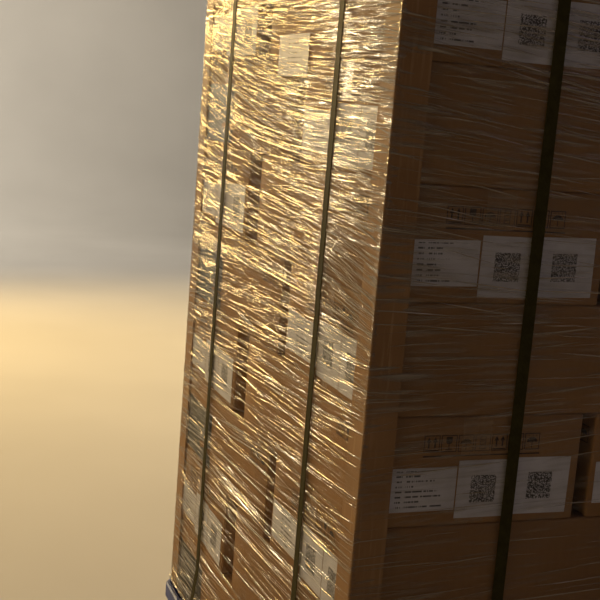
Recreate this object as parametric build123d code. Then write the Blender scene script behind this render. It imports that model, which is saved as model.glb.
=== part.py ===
"""Wrapped pallet load: cartons in interlocked layers on a moulded nine-leg pallet,
with corner boards, a clear film wrap and four straps.

Millimetres. Origin on the floor under the middle of the pallet, +Z up. X runs along the
long side, Y along the short side.
"""
from build123d import *
import os

# Cartons
carton_length = 545.0
carton_width = 352.0
carton_height = 163.0
carton_edge_bevel = 4.0
flap_seam_width = 3.0
flap_seam_depth = 3.5
layer_count = 10
end_gap = 14.0            # least gap between cartons side by side in a row
row_gap = 67.0            # gap between the rows of an even layer, pushed out to the boards
odd_row_gap = 36.0        # gap between the rows of an odd layer

# Paper labels on the outward end of each carton
label_thickness = 0.3
label_margin = 8.0        # from the carton's left edge to the text label
label_end_margin = 15.0   # from the last code label to the carton's right edge
text_label_height = 65.0
text_label_foot = 23.0    # from the carton's bottom edge
code_label_width = 92.0
code_label_height = 87.0
code_label_foot = 11.0
code_label_count = 2
label_spacing = 2.0

# Corner boards
board_leg = 50.0
board_thickness = 4.0
board_seat = 0.5          # clearance between a board and the cartons
board_foot = 4.0          # height of a board's foot above the deck
board_nose_radius = 3.0

# Film wrap
film_thickness = 0.8
film_foot = 2.0           # height of the film's bottom edge above the deck
film_fold_width = 90.0    # of the fold over the top edge
film_roll_thickness = 3.0
film_roll_height = 14.0

# Straps
strap_width = 19.0
strap_thickness = 1.0
strap_inset_x = 236.0     # from the load's end to a strap that crosses the short way
strap_inset_y = 205.0     # from the load's side to a strap that crosses the long way
strap_run_out = 110.0     # height above the deck where a strap leaves the load's face
strap_seat = 0.1          # clearance of a strap off the pallet's side
strap_lap_length = 60.0
strap_lap_height = 420.0  # height of the welded lap above the floor

# Pallet
load_inset = 18.0         # from the pallet's edge to the cartons
pallet_height = 150.0
pallet_corner_radius = 30.0
pallet_edge_bevel = 3.0
skirt_foot_bevel = 2.0
deck_thickness = 7.0
skirt_depth = 32.0
skirt_wall = 5.0
rib_thickness = 4.0
rib_depth = 21.0
cross_rib_count = 8       # ribs that run along Y
long_rib_count = 6        # ribs that run along X
leg_length = 160.0
leg_width = 130.0
leg_corner_bevel = 16.0
leg_wall = 5.0
leg_floor = 6.0
leg_taper = 5.0           # degrees
leg_setback = 4.0         # from the pallet's edge to a leg
slot_length = 56.0
slot_width = 22.0

# Worked out from the sizes above
three_row = 3 * carton_width + 2 * end_gap
two_row = 2 * carton_length + end_gap
load_length = max(three_row, two_row)
load_width = carton_length + carton_width + row_gap
load_height = layer_count * carton_height
pallet_length = load_length + 2 * load_inset
pallet_width = load_width + 2 * load_inset
deck_top = pallet_height
load_top = deck_top + load_height
board_outer_x = load_length / 2 + board_seat + board_thickness
board_outer_y = load_width / 2 + board_seat + board_thickness
film_outer_x = board_outer_x + film_thickness
film_outer_y = board_outer_y + film_thickness
film_top = load_top + film_thickness
skirt_foot = deck_top - skirt_depth
code_labels_width = code_label_count * (code_label_width + label_spacing)
text_label_width = carton_width - label_margin - code_labels_width - label_end_margin


def carton():
    """One closed carton: bevelled upright edges, and the flap seam cut into top and bottom."""
    body = Box(carton_length, carton_width, carton_height)
    body = chamfer(body.edges().filter_by(Axis.Z), carton_edge_bevel)
    seam = Box(carton_length, flap_seam_width, flap_seam_depth)
    top = carton_height / 2 - flap_seam_depth / 2
    return body - Pos(0, 0, top) * seam - Pos(0, 0, -top) * seam


def carton_places(layer):
    """Centre and turn of the five cartons in a layer, before the layer itself is turned."""
    gap = row_gap if layer % 2 == 0 else odd_row_gap
    back = load_width / 2 - carton_width / 2
    front = back - carton_width / 2 - gap - carton_length / 2
    side = load_length / 2 - carton_width / 2
    end = load_length / 2 - carton_length / 2
    places = [(x, front, -90) for x in (-side, 0, side)]
    places += [(-end, back, 180), (end, back, 0)]
    return places


def layer_turn(layer):
    """Every second layer is turned half round, so that the layers lock together."""
    return Rot(0, 0, 0 if layer % 2 == 0 else 180)


def carton_layer(layer, one_carton):
    """Five cartons side by side, standing on the layer below."""
    middle = deck_top + (layer - 0.5) * carton_height
    cartons = [
        Pos(0, 0, middle) * layer_turn(layer) * Pos(x, y, 0) * Rot(0, 0, turn) * one_carton
        for x, y, turn in carton_places(layer)
    ]
    return Compound(children=cartons)


def label_set():
    """A text label and the code labels beside it on a carton's +X end, in its own frame."""
    sizes = [(text_label_width, text_label_height, text_label_foot)]
    sizes += [(code_label_width, code_label_height, code_label_foot)] * code_label_count
    labels = []
    left = -carton_width / 2 + label_margin
    for width, height, foot in sizes:
        middle_z = -carton_height / 2 + foot + height / 2
        sheet = Box(label_thickness, width, height)
        place = Pos(carton_length / 2 + label_thickness / 2, left + width / 2, middle_z)
        labels.append(place * sheet)
        left += width + label_spacing
    return labels


def carton_labels():
    """The labels of every carton in the load."""
    one_set = label_set()
    labels = []
    for layer in range(1, layer_count + 1):
        middle = deck_top + (layer - 0.5) * carton_height
        for x, y, turn in carton_places(layer):
            place = Pos(0, 0, middle) * layer_turn(layer) * Pos(x, y, 0) * Rot(0, 0, turn)
            labels += [place * label for label in one_set]
    return Compound(children=labels)


def corner_board(side_x, side_y):
    """An angle of board up one corner of the load."""
    inner_x = load_length / 2 + board_seat
    inner_y = load_width / 2 + board_seat
    nose = Rectangle(board_leg, board_leg, align=(Align.MAX, Align.MAX))
    nose = fillet(nose.vertices().sort_by(Axis.X)[-2:].sort_by(Axis.Y)[-1], board_nose_radius)
    notch_size = board_leg - board_thickness
    notch = Pos(-board_thickness, -board_thickness) * Rectangle(
        notch_size, notch_size, align=(Align.MAX, Align.MAX)
    )
    angle = Pos(inner_x + board_thickness, inner_y + board_thickness) * (nose - notch)
    foot = deck_top + board_foot
    board = Pos(0, 0, foot) * extrude(angle, load_top - foot)
    if side_x < 0:
        board = mirror(board, Plane.YZ)
    if side_y < 0:
        board = mirror(board, Plane.XZ)
    return board


def film_wrap():
    """Sleeve pulled round the boards, folded over the top edge, its bottom edge rolled."""
    foot = deck_top + film_foot
    size_x = 2 * film_outer_x
    size_y = 2 * film_outer_y
    outline = RectangleRounded(size_x, size_y, board_nose_radius + film_thickness)
    hollow = RectangleRounded(2 * board_outer_x, 2 * board_outer_y, board_nose_radius)
    sleeve = Pos(0, 0, foot) * extrude(outline, film_top - foot)
    sleeve = chamfer(sleeve.edges().group_by(Axis.Z)[-1], film_thickness)
    sleeve -= Pos(0, 0, foot) * extrude(hollow, load_top - foot)
    mouth = Rectangle(size_x - 2 * film_fold_width, size_y - 2 * film_fold_width)
    sleeve -= Pos(0, 0, load_top) * extrude(mouth, film_thickness)
    roll_outline = RectangleRounded(
        size_x + 2 * film_roll_thickness,
        size_y + 2 * film_roll_thickness,
        board_nose_radius + film_thickness + film_roll_thickness,
    )
    roll = Pos(0, 0, foot) * extrude(roll_outline - hollow, film_roll_height)
    return sleeve + roll


def strap_path(half_load, half_pallet, lift):
    """Inner outline of a strap: tight over the top, down the sides and under the deck."""
    top = film_top + lift
    foot = skirt_foot - lift
    leave = deck_top + strap_run_out
    edge = deck_top - pallet_edge_bevel
    side = half_pallet + strap_seat
    right = [(half_load, top), (half_load, leave), (side, edge), (side, foot)]
    left = [(-x, z) for x, z in reversed(right)]
    outline = make_face(Polyline(*right, *left, close=True))
    outline = fillet(outline.vertices().sort_by(Axis.Y)[-2:], film_thickness)
    return fillet(outline.vertices().sort_by(Axis.Y)[:2], skirt_foot_bevel)


def strap(half_load, half_pallet, lift):
    """A closed loop of flat band in the XZ plane, its lap welded on the +X side."""
    inner = strap_path(half_load, half_pallet, lift)
    outer = offset(inner, strap_thickness, kind=Kind.ARC)
    loop = extrude(Plane.XZ * (outer - inner), strap_width / 2, both=True)
    lap_x = half_load + 1.5 * strap_thickness
    return loop + Pos(lap_x, 0, strap_lap_height) * Box(strap_thickness, strap_width, strap_lap_length)


def long_strap(side_y):
    """Strap that crosses the long way and shows on the two ends of the load."""
    place = side_y * (load_width / 2 - strap_inset_y)
    return Pos(0, place, 0) * strap(film_outer_x, pallet_length / 2, 0)


def short_strap(side_x):
    """Strap that crosses the short way, laid over the long straps."""
    place = side_x * (load_length / 2 - strap_inset_x)
    return Pos(place, 0, 0) * Rot(0, 0, 90) * strap(film_outer_y, pallet_width / 2, strap_thickness)


def leg_places():
    """Centres of the nine legs: corners, middles of the sides and the middle."""
    reach_x = pallet_length / 2 - leg_setback - leg_length / 2
    reach_y = pallet_width / 2 - leg_setback - leg_width / 2
    return [(x, y) for x in (-reach_x, 0, reach_x) for y in (-reach_y, 0, reach_y)]


def leg_form(wall, depth):
    """Tapered form from the deck's top down, a wall inside the leg's own outline."""
    section = Rectangle(leg_length - 2 * wall, leg_width - 2 * wall)
    section = chamfer(section.vertices(), leg_corner_bevel)
    return Pos(0, 0, deck_top) * extrude(Rot(180, 0, 0) * section, depth, taper=leg_taper)


def spaced(length, count):
    """Places of ribs spread evenly over a length."""
    pitch = length / (count + 1)
    return [(index + 1) * pitch - length / 2 for index in range(count)]


def cell_middles(length, count):
    """Middles of the cells between those ribs."""
    pitch = length / (count + 1)
    return [(index + 0.5) * pitch - length / 2 for index in range(count + 1)]


def pallet():
    """Nine-leg pallet moulded in one piece: deck, skirt, ribs below, hollow tapered legs."""
    outline = RectangleRounded(pallet_length, pallet_width, pallet_corner_radius)
    shell = Pos(0, 0, skirt_foot) * extrude(outline, skirt_depth)
    shell = chamfer(shell.edges().group_by(Axis.Z)[-1], pallet_edge_bevel)
    shell = chamfer(shell.edges().group_by(Axis.Z)[0], skirt_foot_bevel)
    inner_x = pallet_length - 2 * skirt_wall
    inner_y = pallet_width - 2 * skirt_wall
    hollow = RectangleRounded(inner_x, inner_y, pallet_corner_radius - skirt_wall)
    shell -= Pos(0, 0, skirt_foot) * extrude(hollow, skirt_depth - deck_thickness)
    rib_z = deck_top - deck_thickness - rib_depth / 2
    ribs = [
        Pos(x, 0, rib_z) * Box(rib_thickness, inner_y, rib_depth)
        for x in spaced(inner_x, cross_rib_count)
    ]
    ribs += [
        Pos(0, y, rib_z) * Box(inner_x, rib_thickness, rib_depth)
        for y in spaced(inner_y, long_rib_count)
    ]
    legs = [Pos(x, y) * leg_form(0, pallet_height) for x, y in leg_places()]
    cups = [Pos(x, y) * leg_form(leg_wall, pallet_height - leg_floor) for x, y in leg_places()]
    slots = []
    for x in cell_middles(inner_x, cross_rib_count):
        for y in cell_middles(inner_y, long_rib_count):
            clear_x = (leg_length + slot_length) / 2 + leg_wall
            clear_y = (leg_width + slot_width) / 2 + leg_wall
            if all(abs(x - a) > clear_x or abs(y - b) > clear_y for a, b in leg_places()):
                place = Pos(x, y, deck_top - deck_thickness / 2)
                slots.append(place * Box(slot_length, slot_width, deck_thickness))
    return shell + ribs + legs - cups - slots


os.makedirs("parts", exist_ok=True)
export_step(pallet(), "parts/pallet.step")
plain_carton = carton()
for number in range(1, layer_count + 1):
    export_step(carton_layer(number, plain_carton), f"parts/carton_layer_{number:02d}.step")
export_step(carton_labels(), "parts/carton_labels.step")
for side_name, side_x in (("left", -1), ("right", 1)):
    for row_name, side_y in (("front", -1), ("back", 1)):
        board = corner_board(side_x, side_y)
        export_step(board, f"parts/corner_board_{row_name}_{side_name}.step")
export_step(film_wrap(), "parts/film_wrap.step")
export_step(long_strap(-1), "parts/strap_long_front.step")
export_step(long_strap(1), "parts/strap_long_back.step")
export_step(short_strap(-1), "parts/strap_short_left.step")
export_step(short_strap(1), "parts/strap_short_right.step")
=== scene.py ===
"""Wrapped pallet load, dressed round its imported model: printed kraft cartons with paper
labels and clear tape, kraft corner boards, gathered stretch film, embossed straps and a
moulded pallet. Metres, +Z up, in the row frame.
"""
import math
import random

import bpy
import numpy as np
from mathutils import Matrix, Vector


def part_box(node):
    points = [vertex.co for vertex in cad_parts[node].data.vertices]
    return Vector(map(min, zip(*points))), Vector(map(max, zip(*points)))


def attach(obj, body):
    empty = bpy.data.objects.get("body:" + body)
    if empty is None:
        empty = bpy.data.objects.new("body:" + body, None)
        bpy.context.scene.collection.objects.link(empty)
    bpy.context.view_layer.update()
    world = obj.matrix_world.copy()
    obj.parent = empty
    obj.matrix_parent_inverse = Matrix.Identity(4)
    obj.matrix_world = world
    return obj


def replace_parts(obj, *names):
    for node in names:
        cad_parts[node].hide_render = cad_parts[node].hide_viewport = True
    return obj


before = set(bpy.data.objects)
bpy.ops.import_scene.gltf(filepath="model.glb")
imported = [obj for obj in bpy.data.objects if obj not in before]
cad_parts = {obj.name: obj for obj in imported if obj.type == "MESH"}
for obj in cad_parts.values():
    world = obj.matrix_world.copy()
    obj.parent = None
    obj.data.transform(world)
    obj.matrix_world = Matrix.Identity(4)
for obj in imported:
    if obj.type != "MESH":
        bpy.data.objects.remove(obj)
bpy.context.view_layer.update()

MM = 0.001
LAYERS = 10

# Cartons
CARTON_EDGE = 3.5 * MM      # rounding of a carton's edges
SEAM_DEPTH = 3.0 * MM       # flap seam on a carton's top and bottom
SEAM_WIDTH = 3.0 * MM
BULGE = 1.6 * MM            # most that a full carton's side swells
LABEL_LIFT = 0.45 * MM
INK_LIFT = 0.15 * MM
TAPE_LIFT = 0.25 * MM
TAPE_WIDTH = 48 * MM
TAPE_LEG = 55 * MM          # tape turned over onto a carton's ends
TAPE_BEND = (0.0, 0.5, 1.0, math.pi / 2)                # angles round the edge of a carton's top
LABEL_MARGIN = 8 * MM       # from the left edge of a carton's end to its first label
LABEL_GAP = 2 * MM
PRINT_LEFT = 92 * MM        # symbols printed over the labels of a carton's end
PRINT_FOOT = 111 * MM
PRINT_LINE = (190 * MM, 2.2 * MM)                       # length and width of the line under them
SIDE_PRINT_IN = 100 * MM    # from the right edge of a carton's side to its symbols
SIDE_PRINT_FOOT = 112 * MM
END_SYMBOLS = {"count": 7, "pitch": 27.2 * MM, "size": 25 * MM}
SIDE_SYMBOLS = {"count": 3, "pitch": 29 * MM, "size": 26 * MM}
SYMBOL_FRAME = 1.3 * MM     # line round a symbol
SYMBOL_LINE = 1.2 * MM      # line inside a symbol
PANEL_RECT = (10 * MM, 8 * MM, 185 * MM, 112 * MM)      # left, foot, width and height

# Tag under the film on the left side
TAG_SIZE = (146 * MM, 68 * MM)
TAG_MIDDLE = (-0.068, 1.299)                            # y and z
TAG_LIFT = 2.4 * MM
TAG_BARS = 901.0            # number that its random bars are drawn from

# Film
FILM_LIFT = 0.4 * MM        # film's own surface inside its CAD outline
FILM_HIGHEST = 3.4 * MM     # most that the sleeve stands out from there
STRAP_CLEAR = 14 * MM       # gathers lie flat about this near to a strap's middle
CORNER_CLEAR = 22 * MM      # from a corner to where the film is free to gather
ROLL_DEPTH = 3 * MM         # how far the rolled bottom edge stands out in the CAD
ROLL_RADIUS = 3.2 * MM
GATHER_RISE = 1.7 * MM      # height of a crest in the sleeve itself
RIDGE_RISE = 2.4 * MM       # most that one of the gathers strewn over it stands out
FINE_LENGTH = (0.04, 0.22)  # shortest and longest of the fine gathers
FINE_WIDTH = (1.2 * MM, 2.6 * MM)
LONG_LENGTH = (0.25, 0.95)  # the same for the long, sparse strands
LONG_WIDTH = (1.0 * MM, 2.4 * MM)
ROPE_WIDTH = (1.6 * MM, 4.2 * MM)
FOLD_WIDTH = 76 * MM        # mean width of the film folded in over the top layer
FOLD_RAGGED = 10 * MM       # how far the fold's inner edge strays from that
# Across and height of both ends of each rope-like bundle on the left side
LEFT_ROPES = ((-0.53, 0.95, 0.0, 0.928), (-0.5, 0.93, -0.16, 0.92), (-0.29, 0.503, 0.21, 0.508),
              (-0.13, 0.835, 0.0, 0.818), (-0.175, 0.602, 0.125, 0.634), (-0.45, 1.214, 0.145, 1.149))

# Camera, found by fitting the load's corners to the photograph
CAMERA_PLACE = Vector((-1.1937, -1.8976, 1.2207))
CAMERA_YAW = 20.532
CAMERA_PITCH = 9.553
CAMERA_ROLL = 4.563
CAMERA_LENS = 69.5

# Stage
FLOOR_RADIUS = 16.0
FLOOR_MIDDLE = -8.0         # the load stands nearer to the wall behind it
SWEEP = 3.0                 # radius of the floor's curve up into the wall
WALL_TOP = 16.0


# Helpers for meshes

def solid_boxes(node):
    """Lowest and highest corner of each solid of a CAD node."""
    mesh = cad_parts[node].data
    keys = [tuple(round(c, 5) for c in v.co) for v in mesh.vertices]
    parent = {key: key for key in keys}

    def root(key):
        while parent[key] != key:
            parent[key] = parent[parent[key]]
            key = parent[key]
        return key

    for polygon in mesh.polygons:
        first, *rest = (keys[i] for i in polygon.vertices)
        for key in rest:
            parent[root(key)] = root(first)
    groups = {}
    for key in parent:
        groups.setdefault(root(key), []).append(key)
    boxes = []
    for points in groups.values():
        low = Vector(map(min, *points))
        high = Vector(map(max, *points))
        boxes.append((low, high))
    return sorted(boxes, key=lambda box: tuple(round(c, 4) for c in box[0]))


class Build:
    """Collects the vertices, faces, UVs and material numbers of one mesh piece."""

    def __init__(self):
        self.points = []
        self.faces = []
        self.uvs = []
        self.slots = []
        self.tints = []

    def add(self, points, faces, uvs, slot=0, tint=0.0):
        """uvs holds one (u, v) for each point. tint picks a tone or, on a label, its random print."""
        start = len(self.points)
        self.points.extend(points)
        self.tints.extend([tint] * len(points))
        for face in faces:
            self.faces.append([start + i for i in face])
            self.uvs.extend(uvs[i] for i in face)
            self.slots.append(slot)

    def piece(self, name, materials):
        mesh = bpy.data.meshes.new(name)
        mesh.from_pydata([tuple(p) for p in self.points], [], self.faces)
        layer = mesh.uv_layers.new(name="face_metres")
        layer.data.foreach_set("uv", np.array(self.uvs, np.float32).ravel())
        mesh.polygons.foreach_set("material_index", self.slots)
        mesh.polygons.foreach_set("use_smooth", [True] * len(self.faces))
        tint = mesh.attributes.new("tint", "FLOAT", "POINT")
        tint.data.foreach_set("value", self.tints)
        for material in materials:
            mesh.materials.append(material)
        mesh.update()
        obj = bpy.data.objects.new(name, mesh)
        bpy.context.scene.collection.objects.link(obj)
        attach(obj, "root")
        return obj


def grid_faces(rows, columns):
    """Quads of a grid whose points run along the columns first."""
    return [
        (r * columns + c, r * columns + c + 1, (r + 1) * columns + c + 1, (r + 1) * columns + c)
        for r in range(rows - 1)
        for c in range(columns - 1)
    ]


# Helpers for materials

class Nodes:
    """A material's node tree, with short ways to add what the materials here share."""

    def __init__(self, name):
        self.material = bpy.data.materials.new(name)
        self.material.use_nodes = True
        self.tree = self.material.node_tree
        self.tree.nodes.clear()
        output = self.add("OutputMaterial")
        self.shader = self.add("BsdfPrincipled")
        self.link(self.shader.outputs[0], output.inputs[0])

    def add(self, kind, **settings):
        node = self.tree.nodes.new("ShaderNode" + kind)
        for key, value in settings.items():
            setattr(node, key, value)
        return node

    def link(self, source, target):
        self.tree.links.new(source, target)

    def put(self, target, value):
        if isinstance(value, bpy.types.NodeSocket):
            self.link(value, target)
        else:
            target.default_value = value

    def math(self, operation, first, second=0.0, clamp=False):
        node = self.add("Math", operation=operation, use_clamp=clamp)
        self.put(node.inputs[0], first)
        self.put(node.inputs[1], second)
        return node.outputs[0]

    def step(self, value, low, high):
        """0 under low, 1 over high, smooth between."""
        node = self.add("MapRange", interpolation_type="SMOOTHSTEP")
        self.put(node.inputs["Value"], value)
        node.inputs["From Min"].default_value = low
        node.inputs["From Max"].default_value = high
        return node.outputs["Result"]

    def span(self, value, low, high, soft):
        """1 between low and high, 0 outside."""
        return self.math("MULTIPLY", self.step(value, low - soft, low + soft),
                         self.math("SUBTRACT", 1.0, self.step(value, high - soft, high + soft)))

    def place(self, scale=(1, 1, 1), source="Object", turn=(0, 0, 0)):
        coordinates = self.add("TexCoord")
        mapping = self.add("Mapping")
        mapping.inputs["Scale"].default_value = scale
        mapping.inputs["Rotation"].default_value = turn
        self.link(coordinates.outputs[source], mapping.inputs["Vector"])
        return mapping.outputs["Vector"]

    def noise(self, vector, scale, detail=3.0, rough=0.5):
        node = self.add("TexNoise")
        self.link(vector, node.inputs["Vector"])
        node.inputs["Scale"].default_value = scale
        node.inputs["Detail"].default_value = detail
        node.inputs["Roughness"].default_value = rough
        return node.outputs["Fac"]

    def wave(self, vector, scale, direction="X"):
        node = self.add("TexWave", bands_direction=direction)
        self.link(vector, node.inputs["Vector"])
        node.inputs["Scale"].default_value = scale
        return node.outputs["Fac"]

    def mix(self, factor, first, second):
        node = self.add("Mix", data_type="RGBA")
        self.put(node.inputs[0], factor)
        self.put(node.inputs[6], first)
        self.put(node.inputs[7], second)
        return node.outputs[2]

    def ramp(self, value, *stops):
        node = self.add("ValToRGB")
        self.put(node.inputs[0], value)
        elements = node.color_ramp.elements
        while len(elements) < len(stops):
            elements.new(0.5)
        for element, (place, colour) in zip(elements, stops):
            element.position = place
            element.color = (*colour, 1)
        return node.outputs[0]

    def levels(self, value, *stops):
        """A ramp in grey, for roughness or alpha."""
        return self.ramp(value, *((place, (level,) * 3) for place, level in stops))

    def bump(self, height, strength, distance, normal=None):
        node = self.add("Bump")
        self.put(node.inputs["Height"], height)
        node.inputs["Strength"].default_value = strength
        node.inputs["Distance"].default_value = distance
        if normal is not None:
            self.link(normal, node.inputs["Normal"])
        return node.outputs["Normal"]

    def attribute(self, name):
        return self.add("Attribute", attribute_name=name).outputs["Fac"]

    def finish(self, colour, roughness, normal=None, **fixed):
        self.put(self.shader.inputs["Base Color"], colour)
        self.put(self.shader.inputs["Roughness"], roughness)
        if normal is not None:
            self.link(normal, self.shader.inputs["Normal"])
        for key, value in fixed.items():
            self.put(self.shader.inputs[key.replace("_", " ")], value)
        return self.material


def rgb(r, g, b):
    return (r, g, b, 1.0)


def kraft_material():
    """Corrugated kraft board: fibre flecks, cloudy tone, faint flute lines."""
    n = Nodes("kraft_board")
    cloud = n.noise(n.place(), 5.0, 4.0, 0.6)
    fibre = n.noise(n.place((1, 1, 6)), 260.0, 4.0, 0.7)
    colour = n.ramp(cloud, (0.3, (0.28, 0.148, 0.058)), (0.7, (0.38, 0.208, 0.086)))
    colour = n.mix(n.step(fibre, 0.55, 0.75), colour, rgb(0.46, 0.27, 0.125))
    deeper = n.mix(0.5, colour, rgb(0.24, 0.125, 0.05))
    colour = n.mix(n.step(n.attribute("tint"), 0.0, 1.0), colour, deeper)
    flutes = n.wave(n.place(source="UV"), 22.0)
    normal = n.bump(flutes, 0.12, 0.0006)
    normal = n.bump(fibre, 0.25, 0.0004, normal)
    return n.finish(colour, n.levels(fibre, (0.2, 0.62), (0.8, 0.82)), normal, IOR=1.3)


def ink_material():
    """Printing ink, worn so that the board shows through a little."""
    n = Nodes("carton_ink")
    worn = n.noise(n.place(), 420.0, 3.0, 0.7)
    colour = n.mix(n.step(worn, 0.5, 0.8), rgb(0.035, 0.016, 0.009), rgb(0.16, 0.085, 0.045))
    return n.finish(colour, 0.62)


def panel_material():
    """Ink of the large dark print panels."""
    n = Nodes("carton_panel_ink")
    worn = n.noise(n.place(), 60.0, 4.0, 0.7)
    colour = n.mix(n.step(worn, 0.45, 0.9), rgb(0.012, 0.012, 0.012), rgb(0.05, 0.042, 0.035))
    return n.finish(colour, 0.42)


def paper_base(n):
    """Tone and bump of label paper."""
    cloud = n.noise(n.place(), 30.0, 3.0)
    colour = n.ramp(cloud, (0.3, (0.57, 0.56, 0.6)), (0.7, (0.68, 0.67, 0.72)))
    return colour, n.bump(n.noise(n.place(), 900.0, 2.0), 0.15, 0.0002)


def random_cells(n, vector):
    """A random value for each whole-numbered vector."""
    node = n.add("TexWhiteNoise", noise_dimensions="3D")
    n.link(vector, node.inputs["Vector"])
    return node.outputs["Value"]


def floored(n, u, v, seed):
    """Vector that is the same all over one cell of u and v."""
    node = n.add("CombineXYZ")
    n.put(node.inputs[0], n.math("FLOOR", u))
    n.put(node.inputs[1], n.math("FLOOR", v))
    n.put(node.inputs[2], seed)
    return node.outputs[0]


def label_uv(n):
    """Metres to the right and up from a label's lower left corner."""
    split = n.add("SeparateXYZ")
    n.link(n.add("TexCoord").outputs["UV"], split.inputs[0])
    return split.outputs[0], split.outputs[1]


def code_label_material():
    """White label with one square block of random cells that encodes nothing."""
    n = Nodes("code_label_paper")
    paper, normal = paper_base(n)
    u, v = label_uv(n)
    cells = 33
    block = 41 * MM
    left = 22 * MM
    foot = 23 * MM
    blank = 0.38            # share of the cells that stay white
    cu = n.math("DIVIDE", n.math("SUBTRACT", u, left), block / cells)
    cv = n.math("DIVIDE", n.math("SUBTRACT", v, foot), block / cells)
    inside = n.math("MULTIPLY", n.span(cu, 0, cells, 0.02), n.span(cv, 0, cells, 0.02))
    dark = n.math("GREATER_THAN", random_cells(n, floored(n, cu, cv, n.attribute("tint"))), blank)
    dark = n.math("MULTIPLY", inside, dark)
    return n.finish(n.mix(dark, paper, rgb(0.03, 0.03, 0.032)), 0.55, normal)


def text_label_material():
    """White label with two columns of plain bars in the place of small print."""
    n = Nodes("text_label_paper")
    paper, normal = paper_base(n)
    u, v = label_uv(n)
    pitch = 7.6 * MM
    first_row = 4 * MM
    printed = (5 * MM, 61 * MM)                         # lowest and highest print
    letter = 1.1 * MM
    key_column = (46 * MM, 56 * MM)
    text_left = 61 * MM
    shortest = 66 * MM      # where the shortest line of text ends
    spread = 62 * MM        # how much farther the longest one runs
    row = n.math("DIVIDE", n.math("SUBTRACT", v, first_row), pitch)
    long = random_cells(n, floored(n, row, 0.0, n.attribute("tint")))
    key = n.span(u, *key_column, 0.2 * MM)
    reach = n.math("MULTIPLY_ADD", long, spread)
    reach.node.inputs[2].default_value = shortest
    text = n.math("MULTIPLY", n.math("GREATER_THAN", u, text_left), n.math("LESS_THAN", u, reach))
    letters = random_cells(n, floored(n, n.math("DIVIDE", u, letter), row, 0.0))
    broken = n.math("GREATER_THAN", letters, 0.25)
    line = n.span(n.math("FRACT", row), 0.3, 0.62, 0.05)
    marks = n.math("MAXIMUM", key, text)
    marks = n.math("MULTIPLY", marks, n.math("MULTIPLY", line, broken))
    marks = n.math("MULTIPLY", marks, n.span(v, *printed, 0.3 * MM))
    return n.finish(n.mix(marks, paper, rgb(0.06, 0.06, 0.065)), 0.55, normal)


def tape_material():
    """Clear packing tape, faintly rippled."""
    n = Nodes("clear_tape")
    ripples = n.noise(n.place((1, 1, 3)), 60.0, 3.0)
    normal = n.bump(ripples, 0.25, 0.0004)
    alpha = n.levels(ripples, (0.3, 0.16), (0.7, 0.3))
    return n.finish(rgb(0.6, 0.42, 0.24), 0.12, normal, Alpha=alpha)


def board_material():
    """Laminated kraft board: long grain and a cloudy tone."""
    n = Nodes("corner_board_kraft")
    grain = n.noise(n.place((1, 1, 0.06)), 160.0, 4.0, 0.6)
    cloud = n.noise(n.place(), 9.0, 4.0, 0.6)
    colour = n.ramp(cloud, (0.3, (0.28, 0.15, 0.062)), (0.75, (0.37, 0.21, 0.092)))
    colour = n.mix(n.step(grain, 0.5, 0.8), colour, rgb(0.44, 0.27, 0.13))
    normal = n.bump(grain, 0.3, 0.0005)
    return n.finish(colour, n.levels(grain, (0.2, 0.5), (0.8, 0.68)), normal, IOR=1.3)


def strap_material():
    """Embossed plastic strapping: rows of small diamonds, scuffed in places."""
    n = Nodes("embossed_strap")
    checks = []
    for turn in (45, -45):
        across = n.place((1, 1, 1), turn=(math.radians(turn), math.radians(turn), 0))
        checks.append(n.wave(across, 62.0, direction="Z"))
    emboss = n.math("MULTIPLY", *checks)
    scuff = n.noise(n.place(), 70.0, 4.0, 0.65)
    colour = n.ramp(scuff, (0.35, (0.041, 0.034, 0.008)), (0.8, (0.07, 0.06, 0.018)))
    normal = n.bump(emboss, 0.25, 0.0004)
    return n.finish(colour, n.levels(scuff, (0.3, 0.5), (0.8, 0.7)), normal, IOR=1.14)


def pallet_material():
    """Moulded plastic: fine grain, flow clouds and pale scuffs."""
    n = Nodes("moulded_pallet")
    cloud = n.noise(n.place(), 7.0, 4.0, 0.6)
    scuff = n.noise(n.place((1, 1, 4)), 55.0, 5.0, 0.75)
    colour = n.ramp(cloud, (0.3, (0.012, 0.035, 0.2)), (0.7, (0.022, 0.06, 0.31)))
    colour = n.mix(n.step(scuff, 0.62, 0.8), colour, rgb(0.09, 0.13, 0.34))
    grain = n.noise(n.place(), 700.0, 2.0)
    normal = n.bump(grain, 0.2, 0.0004)
    return n.finish(colour, n.levels(scuff, (0.3, 0.34), (0.8, 0.6)), normal)


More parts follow.
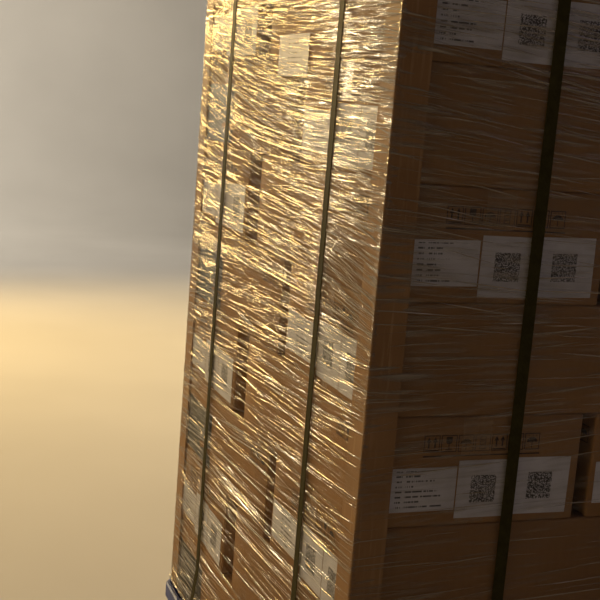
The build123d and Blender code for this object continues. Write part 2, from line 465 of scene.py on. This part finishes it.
def film_material():
    """Clear stretch film: hardly seen where flat, milky and bright where it gathers.
    Its UVs run about in metres along the pleats and across them, so the pleats follow the film."""
    n = Nodes("stretch_film")
    gather = n.attribute("gather")
    body = n.attribute("body")
    pleats = n.noise(n.place((5, 165, 1), "UV"), 1.0, 2.0, 0.5)
    hairs = n.noise(n.place((10, 420, 1), "UV"), 1.0, 2.0, 0.5)
    broken = n.math("MULTIPLY", body, n.noise(n.place((1, 1, 3)), 22.0, 2.0, 0.5))
    cloud = n.noise(n.place((1, 1, 2)), 4.0, 3.0, 0.6)
    thick = n.math("MULTIPLY", body, body)
    drawn = n.math("MULTIPLY", n.step(pleats, 0.55, 0.67), n.math("MULTIPLY", thick, 0.5))
    alpha = n.math("ADD", n.math("MULTIPLY", gather, 0.8), drawn)
    haze = n.math("MULTIPLY", cloud, n.math("ADD", n.math("MULTIPLY", thick, 0.12), 0.06))
    alpha = n.math("ADD", alpha, haze, clamp=True)
    normal = n.bump(broken, 0.14, 0.006)
    normal = n.bump(pleats, 1.0, 0.005, normal)
    normal = n.bump(hairs, 0.5, 0.0008, normal)
    colour = n.mix(gather, rgb(0.3, 0.25, 0.18), rgb(0.54, 0.455, 0.335))
    return n.finish(colour, 0.09, normal, Alpha=alpha, Specular_IOR_Level=1.0)


KRAFT = kraft_material()
INK = ink_material()
PANEL = panel_material()
TEXT_LABEL = text_label_material()
CODE_LABEL = code_label_material()
TAPE = tape_material()
BOARD = board_material()
STRAP = strap_material()
PALLET = pallet_material()
FILM = film_material()


# Cartons

class Carton:
    """One carton in its own frame: +x out of the labelled end, +z up."""

    def __init__(self, low, high, number):
        middle = (low + high) / 2
        size = high - low
        along_x = size.x > size.y
        outward = 1 if (middle.x if along_x else middle.y) > 0 else -1
        turn = (0 if outward > 0 else math.pi) if along_x else outward * math.pi / 2
        self.along_x = along_x
        self.half = Vector((max(size.x, size.y), min(size.x, size.y), size.z)) / 2
        self.place = Matrix.Translation(middle) @ Matrix.Rotation(turn, 4, "Z")
        self.pick = random.Random(number * 7919 + 13)
        self.swell = {
            face: self.pick.uniform(0.45, 1.0) * BULGE
            for face in ("end", "back", "left", "right")
        }

    def axes(self, face):
        """Outward and rightward directions of a side seen from outside, its distance from the
        carton's middle and its half width."""
        outward = {"end": (1, 0, 0), "back": (-1, 0, 0), "left": (0, -1, 0), "right": (0, 1, 0)}[face]
        outward = Vector(outward)
        right = Vector((0, 0, 1)).cross(outward)
        reach = self.half.x if abs(outward.x) > 0.5 else self.half.y
        width = self.half.y if abs(outward.x) > 0.5 else self.half.x
        return outward, right, reach, width

    def swelling(self, face, u, v):
        """How far a side swells out at u, v, measured from its middle."""
        width = self.axes(face)[3]
        a = min(1.0, abs(u) / width)
        b = min(1.0, abs(v) / self.half.z)
        return self.swell[face] * (1 - a ** 3) * (1 - b ** 3)

    def point(self, face, u, v, lift):
        """World point on a side: u to the right and v up from its lower left corner."""
        outward, right, reach, width = self.axes(face)
        u -= width
        v -= self.half.z
        local = outward * (reach + self.swelling(face, u, v) + lift) + right * u + Vector((0, 0, v))
        return self.place @ local


def axis_cuts(half, edge, parts):
    """Cuts along one axis of a carton, with two close ones at each rounded edge."""
    inner = half - edge
    middle = [-inner + 2 * inner * i / parts for i in range(parts + 1)]
    return [-half, *middle, half]


def carton_body(build, carton):
    """Closed carton with rounded edges, swollen sides and a seam between its flaps."""
    cuts = [axis_cuts(h, CARTON_EDGE, parts) for h, parts in zip(carton.half, (8, 6, 4))]
    seam = len(cuts[1]) // 2
    cuts[1][seam:seam + 1] = [-SEAM_WIDTH / 2, 0.0, SEAM_WIDTH / 2]
    index = {}
    points = []
    uvs = []

    def vertex(i, j, k):
        if (i, j, k) in index:
            return index[i, j, k]
        p = Vector((cuts[0][i], cuts[1][j], cuts[2][k]))
        core = Vector(max(-h + CARTON_EDGE, min(h - CARTON_EDGE, c)) for c, h in zip(p, carton.half))
        out = p - core
        if out.length > 1e-9:
            p = core + out.normalized() * CARTON_EDGE
        if i in (0, len(cuts[0]) - 1):
            face = "end" if i else "back"
            p.x += math.copysign(carton.swelling(face, p.y, p.z), p.x)
        if j in (0, len(cuts[1]) - 1):
            face = "right" if j else "left"
            p.y += math.copysign(carton.swelling(face, p.x, p.z), p.y)
        if k in (0, len(cuts[2]) - 1) and j == len(cuts[1]) // 2:
            p.z -= math.copysign(SEAM_DEPTH, p.z)
        index[i, j, k] = len(points)
        points.append(carton.place @ p)
        flat_x = i in (0, len(cuts[0]) - 1)
        uvs.append((p.y if flat_x else p.x, p.z))
        return index[i, j, k]

    faces = []
    for axis in range(3):
        a, b = [x for x in range(3) if x != axis]
        for side in (0, len(cuts[axis]) - 1):
            for m in range(len(cuts[a]) - 1):
                for o in range(len(cuts[b]) - 1):
                    corners = [(m, o), (m + 1, o), (m + 1, o + 1), (m, o + 1)]
                    if (side == 0) != (axis == 1):
                        corners.reverse()
                    quad = []
                    for p, q in corners:
                        key = [0, 0, 0]
                        key[axis], key[a], key[b] = side, p, q
                        quad.append(vertex(*key))
                    faces.append(quad)
    build.add(points, faces, uvs, tint=carton.pick.random())


def patch(build, carton, face, rect, lift, slot=0, cells=(1, 1), tint=0.0, tilt=0.0):
    """Thin sheet stuck on a carton's side, following its swelling. rect is left, foot, width, height."""
    left, foot, width, height = rect
    columns, rows = cells[0] + 1, cells[1] + 1
    points = []
    uvs = []
    for r in range(rows):
        for c in range(columns):
            u = width * c / (columns - 1)
            v = height * r / (rows - 1)
            points.append(carton.point(face, left + u - tilt * v, foot + v + tilt * u, lift))
            uvs.append((u, v))
    build.add(points, grid_faces(rows, columns), uvs, slot, tint)


def top_tape(build, carton):
    """Tape along the flap seam of a carton's top, bent over both edges."""
    x = carton.half.x - CARTON_EDGE
    z = carton.half.z - CARTON_EDGE
    reach = CARTON_EDGE + TAPE_LIFT
    bend = [(x + reach * math.cos(t), z + reach * math.sin(t)) for t in TAPE_BEND]
    flat = [(x * (1 - i / 6), z + reach) for i in range(1, 12)]
    profile = [*bend, *flat, *((-a, b) for a, b in reversed(bend))]
    edges = (TAPE_WIDTH / 2, -TAPE_WIDTH / 2)
    points = [carton.place @ Vector((a, edge, b)) for a, b in profile for edge in edges]
    uvs = [(a, edge) for a, b in profile for edge in edges]
    build.add(points, grid_faces(len(profile), 2), uvs)


def shape(build, carton, face, outline):
    """A filled printed outline; its points are (u, v) on the side."""
    points = [carton.point(face, u, v, INK_LIFT) for u, v in outline]
    build.add(points, [range(len(points))], outline)


def frame_lines(build, carton, face, left, foot, width, height, line):
    """A printed rectangle drawn by four lines."""
    for rect in ((left, foot, width, line), (left, foot + height - line, width, line),
                 (left, foot, line, height), (left + width - line, foot, line, height)):
        patch(build, carton, face, rect, INK_LIFT)


# Handling symbols. Their sizes are shares of the side of the square that frames them: fill
# prints an outline, and box prints the lines round a rectangle.

def bar(left, foot, right, top):
    return [(left, foot), (right, foot), (right, top), (left, top)]


def arch(across, up, level, start, parts):
    """Half an ellipse about the symbol's middle line, from the angle start."""
    turns = [start + i * math.pi / parts for i in range(parts + 1)]
    return [(0.5 + across * math.cos(t), level + up * math.sin(t)) for t in turns]


def symbol_arrows(fill, box):
    """This way up: two arrows over a bar."""
    fill(bar(0.1, 0.08, 0.9, 0.15))
    for middle in (0.3, 0.7):
        fill(bar(middle - 0.05, 0.24, middle + 0.05, 0.6))
        fill([(middle - 0.15, 0.6), (middle + 0.15, 0.6), (middle, 0.9)])


def symbol_glass(fill, box):
    """Fragile: a stemmed glass."""
    fill([(0.3, 0.9), *arch(0.2, 0.16, 0.62, math.pi, 6), (0.7, 0.9)])
    fill(bar(0.47, 0.16, 0.53, 0.47))
    fill(bar(0.3, 0.1, 0.7, 0.17))


def symbol_umbrella(fill, box):
    """Keep dry: an umbrella with drops."""
    fill(arch(0.36, 0.3, 0.46, 0.0, 8))
    fill(bar(0.48, 0.12, 0.53, 0.46))
    for drop in (0.25, 0.5, 0.75):
        fill([(drop, 0.82), (drop + 0.04, 0.82), (drop + 0.02, 0.95)])


def symbol_stack(fill, box):
    """Stacking limit: boxes in a column."""
    for level in range(3):
        box(0.3, 0.12 + 0.27 * level, 0.4, 0.23)


SYMBOLS = (symbol_arrows, symbol_glass, symbol_umbrella, symbol_stack)


def symbol_row(build, carton, face, left, foot, count, pitch, size):
    """A row of framed handling symbols."""
    for number in range(count):
        start = left + number * pitch

        def fill(outline):
            shape(build, carton, face, [(start + u * size, foot + v * size) for u, v in outline])

        def box(u, v, width, height):
            frame_lines(build, carton, face, start + u * size, foot + v * size,
                        width * size, height * size, SYMBOL_LINE)

        frame_lines(build, carton, face, start, foot, size, size, SYMBOL_FRAME)
        SYMBOLS[number % len(SYMBOLS)](fill, box)


def end_print(build, carton):
    """Handling symbols over the labels of a carton's end, with a printed line under them."""
    symbol_row(build, carton, "end", PRINT_LEFT, PRINT_FOOT, **END_SYMBOLS)
    patch(build, carton, "end", (PRINT_LEFT, PRINT_FOOT - 7 * MM, *PRINT_LINE), INK_LIFT)


def dress_cartons():
    """Cartons, prints, tape and labels of every layer."""
    ink = Build()
    labels = Build()
    tape = Build()
    label_solids = solid_boxes("carton_labels")
    label_sizes = [high - low for low, high in label_solids]
    widths = sorted(round(max(size.x, size.y), 4) for size in label_sizes)
    code_width, text_width = widths[0], widths[-1]
    text_height = min(size.z for size in label_sizes)
    code_height = max(size.z for size in label_sizes)
    number = 0
    for layer in range(1, LAYERS + 1):
        node = f"carton_layer_{layer:02d}"
        build = Build()
        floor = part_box(node)[0].z
        feet = sorted(round(low.z - floor, 4) for low, high in label_solids if 0 < low.z - floor < 0.1)
        code_foot, text_foot = feet[0], feet[-1]
        for low, high in solid_boxes(node):
            number += 1
            carton = Carton(low, high, number)
            pick = carton.pick
            carton_body(build, carton)
            patch(labels, carton, "end", (LABEL_MARGIN, text_foot, text_width, text_height),
                  LABEL_LIFT, cells=(6, 3), tint=number, tilt=pick.uniform(-0.012, 0.02))
            for copy in range(2):
                left = LABEL_MARGIN + text_width + LABEL_GAP + copy * (code_width + LABEL_GAP)
                foot = code_foot + pick.uniform(-1, 2) * MM
                patch(labels, carton, "end", (left, foot, code_width, code_height),
                      LABEL_LIFT + copy * 0.1 * MM, slot=1, cells=(4, 4), tint=number * 2 + copy,
                      tilt=pick.uniform(-0.014, 0.014))
            end_print(ink, carton)
            left = 2 * carton.half.x - SIDE_PRINT_IN
            for face in ("left", "right"):
                symbol_row(ink, carton, face, left, SIDE_PRINT_FOOT, **SIDE_SYMBOLS)
            if not carton.along_x:
                patch(ink, carton, "right", PANEL_RECT, INK_LIFT, slot=1, cells=(2, 2))
            if layer == LAYERS:
                top_tape(tape, carton)
            middle = carton.half.y - TAPE_WIDTH / 2
            top = 2 * carton.half.z - CARTON_EDGE - TAPE_LEG
            for face in ("end", "back"):
                for foot in (top, CARTON_EDGE):
                    leg = (middle, foot, TAPE_WIDTH, TAPE_LEG)
                    patch(tape, carton, face, leg, TAPE_LIFT, cells=(2, 3))
        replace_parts(build.piece(f"cartons_{layer:02d}", [KRAFT]), node)
    ink.piece("carton_print", [INK, PANEL])
    tape.piece("carton_tape", [TAPE])
    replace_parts(labels.piece("paper_labels", [TEXT_LABEL, CODE_LABEL]), "carton_labels")


dress_cartons()


def pallet_tag():
    """Paper tag with plain bars, tucked under the film on the left side."""
    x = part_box("carton_layer_07")[0].x - TAG_LIFT
    points = [(x, TAG_MIDDLE[0] - c * TAG_SIZE[0], TAG_MIDDLE[1] + r * TAG_SIZE[1])
              for r in (-0.5, 0.5) for c in (-0.5, 0.5)]
    build = Build()
    uvs = [(c * TAG_SIZE[0], r * TAG_SIZE[1]) for r in (0, 1) for c in (0, 1)]
    build.add(points, [(0, 1, 3, 2)], uvs, tint=TAG_BARS)
    build.piece("pallet_tag", [TEXT_LABEL])


pallet_tag()


def dress_node(name, material):
    """Give one material to a CAD node that shows as it is."""
    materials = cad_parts[name].data.materials
    materials.clear()
    materials.append(material)


for corner in ("front_left", "front_right", "back_left", "back_right"):
    dress_node("corner_board_" + corner, BOARD)
for run in ("long_front", "long_back", "short_left", "short_right"):
    dress_node("strap_" + run, STRAP)
dress_node("pallet", PALLET)


# Film wrap

film_low, film_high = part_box("film_wrap")
strap_y = sum(corner.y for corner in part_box("strap_long_back")) / 2
strap_x = sum(corner.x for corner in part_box("strap_short_right")) / 2
film_x = film_high.x - ROLL_DEPTH - FILM_LIFT
film_y = film_high.y - ROLL_DEPTH - FILM_LIFT
film_foot = film_low.z
film_top = film_high.z


def rise(value, low, high):
    """0 under low, 1 over high, straight between."""
    return np.clip((value - low) / (high - low), 0, 1)


def hump(value, middle, spread):
    """1 at the middle, falling to 0 on both sides."""
    return np.exp(-(((value - middle) / spread) ** 2))


class Side:
    """One side of the wrap, reach away from the load's middle. across runs to the right seen
    from outside, from -half to half. strap is how far its two straps stand from its middle,
    slant how steeply the gathers are pulled down, pleated how strongly the film shows its
    pleats, and tagged how flat it lies over the tag."""

    def __init__(self, name, outward, reach, half, strap, seed, slant, pleated, tagged=0.0):
        self.name = name
        self.outward = np.array(outward, float)
        self.right = np.cross([0, 0, 1], self.outward)
        self.reach = reach
        self.half = half
        self.strap = strap
        self.rng = np.random.default_rng(seed)
        self.slant = slant
        self.pleated = pleated
        self.tagged = tagged

    def points(self, across, height, lift):
        flat = self.outward * (self.reach + lift)[..., None] + self.right * across[..., None]
        flat[..., 2] = height
        return flat

    def free_of_strap(self, across, far=1.5):
        """0 beside a strap, 1 from far times STRAP_CLEAR onward."""
        near = np.minimum(abs(across - self.strap), abs(across + self.strap))
        return rise(near, STRAP_CLEAR * 0.75, STRAP_CLEAR * far)

    def calm(self, across):
        """0 beside a strap or at a corner, 1 where the film is free to gather."""
        return self.free_of_strap(across) * rise(self.half - abs(across), 1 * MM, CORNER_CLEAR)

    def angle(self, across, height):
        """Angle of the gathers, in degrees down to the right. They run nearly level, but slope
        more steeply high up on the left and lower down on the right."""
        level = -3.2 + 5.5 * rise(height, 0.82, 1.0)
        pulled = self.slant * hump(height, 1.24, 0.15) * rise(-across, -0.18, 0.3)
        fan = 8.0 * hump(height, 0.98, 0.08) * hump(across, 0.4, 0.12)
        return level + pulled + fan

    def density(self, across, height):
        """How closely the film gathers: closely above, less below but more to the left and at the
        foot, and more loosely about the side's middle, a metre up."""
        upper = rise(height, 0.72, 0.98)
        lower = 0.2 + 0.45 * rise(-across, 0.1, 0.45)
        loose = 1 - 0.5 * hump(height, 1.03, 0.17) * hump(across, -0.05, 0.38)
        foot = 0.5 * hump(height, film_foot + 0.025, 0.035)
        close = np.clip((upper + lower * (1 - upper)) * loose + foot, 0, 1)
        return close * self.free_of_tag(across, height)

    def free_of_tag(self, across, height):
        """Near 0 where the film lies flat over the tag, 1 away from it."""
        over = hump(across, -TAG_MIDDLE[0], 0.095) * hump(height, TAG_MIDDLE[1] + 0.01, 0.036)
        return 1 - self.tagged * over


def smooth_rows(rng, rows, columns, step, wavelength):
    """One smooth random line per row, from about -1 to 1, with waves of about the given length."""
    along = np.arange(columns) * step
    lines = np.zeros((rows, columns))
    for _ in range(5):
        wave = 2 * np.pi / (wavelength * rng.uniform(0.6, 2.2, (rows, 1)))
        lines += np.sin(along * wave + rng.uniform(0, 2 * np.pi, (rows, 1)))
    return lines / 2.6


def film_piece(name, points, faces, uvs, gather, body):
    """Film mesh with, for each point, its flow UVs, how far it gathers and how pleated it is."""
    mesh = bpy.data.meshes.new(name)
    mesh.from_pydata(points.tolist(), [], faces.tolist())
    mesh.polygons.foreach_set("use_smooth", [True] * len(faces))
    layer = mesh.uv_layers.new(name="flow_metres")
    layer.data.foreach_set("uv", uvs[faces.ravel()].astype(np.float32).ravel())
    for key, values in (("gather", gather), ("body", body)):
        attribute = mesh.attributes.new(key, "FLOAT", "POINT")
        attribute.data.foreach_set("value", values.astype(np.float32).ravel())
    mesh.materials.append(FILM)
    mesh.update()
    obj = bpy.data.objects.new(name, mesh)
    bpy.context.scene.collection.objects.link(obj)
    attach(obj, "root")
    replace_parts(obj, "film_wrap")


def film_sheet(side, pitch, step):
    """The sleeve of one side. Its rows follow the winding, each second one a gathered crest."""
    rng = side.rng
    columns = int(2 * side.half / step) + 1
    rows = int((film_top - film_foot - 14 * MM) / pitch) | 1
    across = np.linspace(-side.half, side.half, columns)
    start = np.linspace(film_foot + 2 * MM, film_top - 1 * MM, rows)
    a, h = np.meshgrid(across, start)
    slope = -np.tan(np.radians(side.angle(a, h)))
    drop = np.cumsum(slope, axis=1) * (across[1] - across[0])
    drop -= drop[:, [columns // 2]]
    ends = rise(h, film_foot + 2 * MM, film_foot + 0.12) * rise(film_top - h, 0, 0.1)
    inner = np.ones(rows)
    inner[[0, -1]] = 0
    body = side.density(a, h)
    wander = smooth_rows(rng, rows, columns, step, 0.14) * pitch * (0.1 + 0.24 * body) * inner[:, None]
    height = h + drop * ends + wander
    crest = np.clip(smooth_rows(rng, rows, columns, step, 0.11) * 0.75 + 0.35, 0, 1) ** 1.4
    crest *= (np.arange(rows) % 2)[:, None] * (0.04 + 0.96 * body)
    calm = side.calm(a)
    swell = np.zeros_like(h)
    for _ in range(14):
        across_wave, up_wave = rng.uniform(3, 14), rng.uniform(18, 62)
        swell += np.sin(a * across_wave + h * up_wave + rng.uniform(0, 2 * np.pi)) / 3.2
    lift = crest * GATHER_RISE * (0.15 + 0.85 * calm) + (swell * 1.1 - 1.0) * MM * calm
    lift = np.minimum(lift, FILM_HIGHEST * (0.06 + 0.94 * calm))
    points = side.points(a, height, lift).reshape(-1, 3)
    faces = np.array(grid_faces(rows, columns))
    uvs = np.stack([a, h], axis=-1).reshape(-1, 2)
    gather = crest * 0.7 * side.pleated
    film_piece(f"film_{side.name}", points, faces, uvs, gather, (0.1 + 0.9 * body) * side.pleated)


def ridges(side, name, a, h, reach, broad, turn, sway, steps):
    """Narrow rope-like gathers that lie on the sleeve and follow its winding from their middles
    a, h. reach and broad are their lengths and widths; turn and sway, in degrees, take them off
    the winding. Each is a strip of three quads across: two slopes and a crest between them."""
    count = len(a)
    path_a = a[:, None] + reach[:, None] * np.linspace(-0.5, 0.5, steps + 1)
    path_h = np.repeat(h[:, None], steps + 1, axis=1)
    step = reach / steps
    middle = steps // 2
    for i in range(middle, steps):
        here = side.angle(path_a[:, i], path_h[:, i]) + turn + sway * math.sin(i)
        path_h[:, i + 1] = path_h[:, i] - step * np.tan(np.radians(here))
    for i in range(middle, 0, -1):
        here = side.angle(path_a[:, i], path_h[:, i]) + turn + sway * math.sin(i)
        path_h[:, i - 1] = path_h[:, i] + step * np.tan(np.radians(here))
    path_a = np.clip(path_a, -side.half + 1 * MM, side.half - 1 * MM)
    path_h = np.clip(path_h, film_foot + 8 * MM, film_top - 4 * MM)
    taper = np.sin(np.pi * np.linspace(0.02, 0.98, steps + 1)) ** 0.7
    da = np.gradient(path_a, axis=1)
    dh = np.gradient(path_h, axis=1)
    norm = np.hypot(da, dh) + 1e-9
    half = broad[:, None] * (0.2 + 0.8 * taper) / 2
    calm = side.calm(path_a)
    crest = np.minimum(broad[:, None] * 0.5, RIDGE_RISE) * taper * (0.06 + 0.94 * calm)
    ridge = []
    uvs = []
    for offset, share in ((-1, 0.0), (-0.4, 0.85), (0.4, 0.85), (1, 0.0)):
        ridge.append(side.points(path_a - dh / norm * half * offset, path_h + da / norm * half * offset,
                                 crest * share + 0.35 * MM * calm))
        uvs.append(np.stack([path_a, h[:, None] + half * offset], axis=-1))
    gather = np.repeat(side.rng.uniform(0.3, 1.0, (count, 1)), steps + 1, axis=1) * taper
    gather = np.stack([gather * 0.5, gather, gather, gather * 0.5], axis=2)
    first = (np.arange(count) * (steps + 1) * 4)[:, None, None]
    first = first + np.arange(steps)[None, :, None] * 4 + np.arange(3)[None, None, :]
    faces = np.stack([first, first + 1, first + 5, first + 4], axis=-1).reshape(-1, 4)
    points = np.stack(ridge, axis=2).reshape(-1, 3)
    film_piece(name, points, faces, np.stack(uvs, axis=2).reshape(-1, 2), gather, gather * 0.4)


def strands(side, name, count, length, width, density, stray, sway, steps):
    """Gathers strewn over a side, as closely as density says. stray and sway, in degrees, say
    how much they turn off the winding and how much they waver along it."""
    rng = side.rng
    a, h = np.zeros(0), np.zeros(0)
    while len(a) < count:
        more_a = rng.uniform(-side.half, side.half, 4 * count)
        more_h = rng.uniform(film_foot + 0.01, film_top - 0.006, 4 * count)
        keep = rng.uniform(0, 1, 4 * count) < density(more_a, more_h)
        a, h = np.append(a, more_a[keep]), np.append(h, more_h[keep])
    ridges(side, name, a[:count], h[:count], rng.uniform(*length, count), rng.uniform(*width, count),
           rng.normal(0, stray, count), rng.normal(0, sway, count), steps)


def ropes(side, name, runs, count):
    """Bundles of gathers drawn together along given runs: (across, height) of both ends."""
    rng = side.rng
    parts = []
    for a0, h0, a1, h1 in runs:
        middle_a, middle_h = (a0 + a1) / 2, (h0 + h1) / 2
        a = middle_a + rng.normal(0, 0.03, count)
        h = middle_h + rng.normal(0, 5 * MM, count)
        reach = abs(a1 - a0) * rng.uniform(0.5, 1.05, count)
        tilt = math.degrees(math.atan2(h0 - h1, a1 - a0)) - side.angle(middle_a, middle_h)
        parts.append((a, h, reach, tilt + rng.normal(0, 0.7, count)))
    a, h, reach, turn = (np.concatenate(column) for column in zip(*parts))
    broad = rng.uniform(*ROPE_WIDTH, len(a))
    ridges(side, name, a, h, reach, broad, turn, np.zeros(len(a)), steps=16)


def rolled_edge(side):
    """The bottom edge, rolled up on itself into a wavy cord."""
    step = 9 * MM
    columns = int(2 * side.half / step)
    ring = 8
    across = np.linspace(-side.half, side.half, columns)
    thicker, higher, milkier = smooth_rows(side.rng, 3, columns, step, 0.07)[..., None]
    angle = np.linspace(0, 2 * np.pi, ring, endpoint=False)
    a, turn = np.meshgrid(across, angle, indexing="ij")
    radius = ROLL_RADIUS + 1.1 * MM * thicker + 0.6 * MM * np.sin(3 * turn + a * 160)
    press = 0.45 + 0.55 * side.free_of_strap(a)
    lift = (radius * np.cos(turn) + 0.8 * MM) * press
    height = film_foot + 6 * MM + radius * np.sin(turn) + 1.2 * MM * higher
    points = side.points(a, height, lift).reshape(-1, 3)
    faces = np.array([
        (c * ring + r, (c + 1) * ring + r, (c + 1) * ring + (r + 1) % ring, c * ring + (r + 1) % ring)
        for c in range(columns - 1)
        for r in range(ring)
    ])
    uvs = np.stack([a, turn * 3 * MM + a * 0.2], axis=-1).reshape(-1, 2)
    gather = np.repeat(0.45 + 0.3 * milkier, ring, axis=1)
    film_piece(f"film_{side.name}_roll", points, faces, uvs, gather.clip(0.2, 0.9), gather)


def top_fold(side):
    """The sleeve's top, folded in over the top layer and crumpled, with a ragged inner edge."""
    rng = side.rng
    step = 4 * MM
    columns = int(2 * side.half / step)
    rows = 18
    s, a = np.meshgrid(np.linspace(0, 1, rows), np.linspace(-1, 1, columns), indexing="ij")
    ragged = smooth_rows(rng, 1, columns, step, 0.09)[0]
    depth = s * (FOLD_WIDTH + FOLD_RAGGED * ragged)
    along = a * (side.half - depth)
    free = side.free_of_strap(along, 1.8) * rise(s, 0.0, 0.2)
    crumple = np.zeros_like(s)
    for _ in range(24):
        wave, skew = rng.uniform(40, 400), rng.uniform(-60, 60)
        crumple += np.sin(along * wave + depth * skew + rng.uniform(0, 2 * np.pi)) / 5
    crumple = np.clip(crumple, -0.4, 1.6) + 0.4
    lift = 0.25 * MM + crumple * 1.7 * MM * free
    points = side.points(along, film_top + lift, -depth).reshape(-1, 3)
    faces = np.array(grid_faces(rows, columns))
    uvs = np.stack([depth, along * 0.6], axis=-1).reshape(-1, 2)
    edge = rise(s, 0.9, 1.0) * 0.3
    gather = np.clip(crumple ** 1.5 * 0.17 * free + edge + 0.09, 0, 0.8)
    film_piece(f"film_{side.name}_fold", points, faces, uvs, gather, np.ones_like(s))


def wrap_side(side, fine_count, long_count, pitch, step):
    """Sleeve, fine gathers, long sparse strands, rolled foot and folded top of one side. pitch
    and step are the spacing of the sleeve's rows and of the points along them."""
    film_sheet(side, pitch, step)
    strands(side, f"film_{side.name}_gathers", fine_count, FINE_LENGTH, FINE_WIDTH,
            lambda a, h: 0.04 + 0.96 * side.density(a, h) ** 2,
            stray=3.0, sway=1.5, steps=8)
    strands(side, f"film_{side.name}_strands", long_count, LONG_LENGTH, LONG_WIDTH,
            lambda a, h: (1.05 - side.density(a, h)) * side.free_of_tag(a, h),
            stray=1.0, sway=0.15, steps=12)
    rolled_edge(side)
    top_fold(side)


left_side = Side("left", (-1, 0, 0), film_x, film_y, strap_y,
                 seed=11, slant=11.0, pleated=1.0, tagged=0.97)
wrap_side(left_side, fine_count=3700, long_count=210, pitch=2.8 * MM, step=18 * MM)
ropes(left_side, "film_left_ropes", LEFT_ROPES, count=9)
front_side = Side("front", (0, -1, 0), film_y, film_x, strap_x, seed=12, slant=4.0, pleated=1.0)
wrap_side(front_side, fine_count=1500, long_count=40, pitch=4.5 * MM, step=26 * MM)
right_side = Side("right", (1, 0, 0), film_x, film_y, strap_y, seed=13, slant=9.0, pleated=0.9)
wrap_side(right_side, fine_count=1400, long_count=160, pitch=4.0 * MM, step=24 * MM)
back_side = Side("back", (0, 1, 0), film_y, film_x, strap_x, seed=14, slant=7.0, pleated=0.9)
wrap_side(back_side, fine_count=1400, long_count=160, pitch=4.0 * MM, step=24 * MM)


# Stage, camera and lights

def stage_floor():
    """Pale round floor that curves up into a plain wall on every side."""
    angles = np.linspace(0, math.pi / 2, 13)
    turn = [(FLOOR_RADIUS + SWEEP * math.sin(t), SWEEP * (1 - math.cos(t))) for t in angles]
    profile = [(0.0, 0.0), (FLOOR_RADIUS - 0.5, 0.0), *turn, (FLOOR_RADIUS + SWEEP, WALL_TOP)]
    around = np.linspace(0, -2 * math.pi, 129)
    points = [(r * math.cos(a), FLOOR_MIDDLE + r * math.sin(a), z) for r, z in profile for a in around]
    mesh = bpy.data.meshes.new("floor")
    mesh.from_pydata(points, [], grid_faces(len(profile), len(around)))
    mesh.polygons.foreach_set("use_smooth", [True] * len(mesh.polygons))
    n = Nodes("pale_floor")
    cloud = n.noise(n.place(), 0.8, 3.0)
    mesh.materials.append(n.finish(n.levels(cloud, (0.3, 0.5), (0.7, 0.56)), 0.85))
    floor = bpy.data.objects.new("floor", mesh)
    bpy.context.scene.collection.objects.link(floor)


def area_light(name, place, target, size, power, colour):
    """Soft light at a place, turned to its target. The camera doesn't see its panel."""
    data = bpy.data.lights.new(name, "AREA")
    data.shape = "RECTANGLE"
    data.size, data.size_y = size
    data.energy = power
    data.color = colour
    light = bpy.data.objects.new(name, data)
    light.location = place
    light.rotation_euler = (Vector(target) - Vector(place)).to_track_quat("-Z", "Y").to_euler()
    light.visible_camera = False
    bpy.context.scene.collection.objects.link(light)


def camera():
    """Camera at the photograph's viewing angle, rolled as it was."""
    yaw, pitch, roll = (math.radians(a) for a in (CAMERA_YAW, CAMERA_PITCH, CAMERA_ROLL))
    level = math.cos(pitch)
    forward = Vector((math.sin(yaw) * level, math.cos(yaw) * level, -math.sin(pitch)))
    right = Vector((math.cos(yaw), -math.sin(yaw), 0))
    up = right.cross(forward)
    right_rolled = right * math.cos(roll) + up * math.sin(roll)
    up_rolled = up * math.cos(roll) - right * math.sin(roll)
    data = bpy.data.cameras.new("camera")
    data.sensor_width = 36
    data.lens = CAMERA_LENS
    obj = bpy.data.objects.new("camera", data)
    turn = Matrix((right_rolled, up_rolled, -forward)).transposed()
    obj.matrix_world = Matrix.Translation(CAMERA_PLACE) @ turn.to_4x4()
    bpy.context.scene.collection.objects.link(obj)
    bpy.context.scene.camera = obj


stage_floor()
area_light("key", (-4.2, -0.6, 2.0), (-0.5, 0.0, 0.9), (2.0, 2.6), 32, (1.0, 0.71, 0.38))
area_light("far_glow", (-2.67, 4.8, 1.57), (-0.6, -0.3, 1.2), (0.5, 0.5), 42, (1.0, 0.79, 0.46))
area_light("ridge_glow", (-1.5, 4.8, 2.75), (-0.6, -0.1, 1.0), (1.2, 0.5), 90, (1.0, 0.63, 0.19))
area_light("low_glow", (-1.4, 4.8, 1.95), (-0.6, -0.1, 0.5), (0.8, 0.4), 54, (1.0, 0.66, 0.24))
area_light("right_glow", (1.7, 4.8, 2.7), (0.6, -0.1, 1.0), (1.0, 0.5), 60, (1.0, 0.74, 0.36))
area_light("backdrop_glow", (-3.0, 6.0, 4.0), (-2.5, 11.0, 1.6), (5.0, 2.0), 380, (1.0, 0.87, 0.68))
area_light("fill", (4.0, -4.3, 3.4), (0, 0, 0.9), (2.5, 2.5), 9, (1.0, 0.78, 0.98))
area_light("front_floor_glow", (1.5, -8.0, 5.0), (1.5, -20.0, 1.0), (9.0, 2.5), 150, (1.0, 0.9, 0.84))
area_light("rear_key", (3.6, 3.4, 4.2), (0, 0, 0.9), (2.5, 2.5), 130, (1.0, 0.86, 0.68))
camera()

bpy.context.scene.view_settings.view_transform = "Standard"
world = bpy.data.worlds.new("studio")
world.use_nodes = True
background = world.node_tree.nodes["Background"]
background.inputs["Color"].default_value = rgb(1.0, 0.93, 1.0)
background.inputs["Strength"].default_value = 0.023
bpy.context.scene.world = world
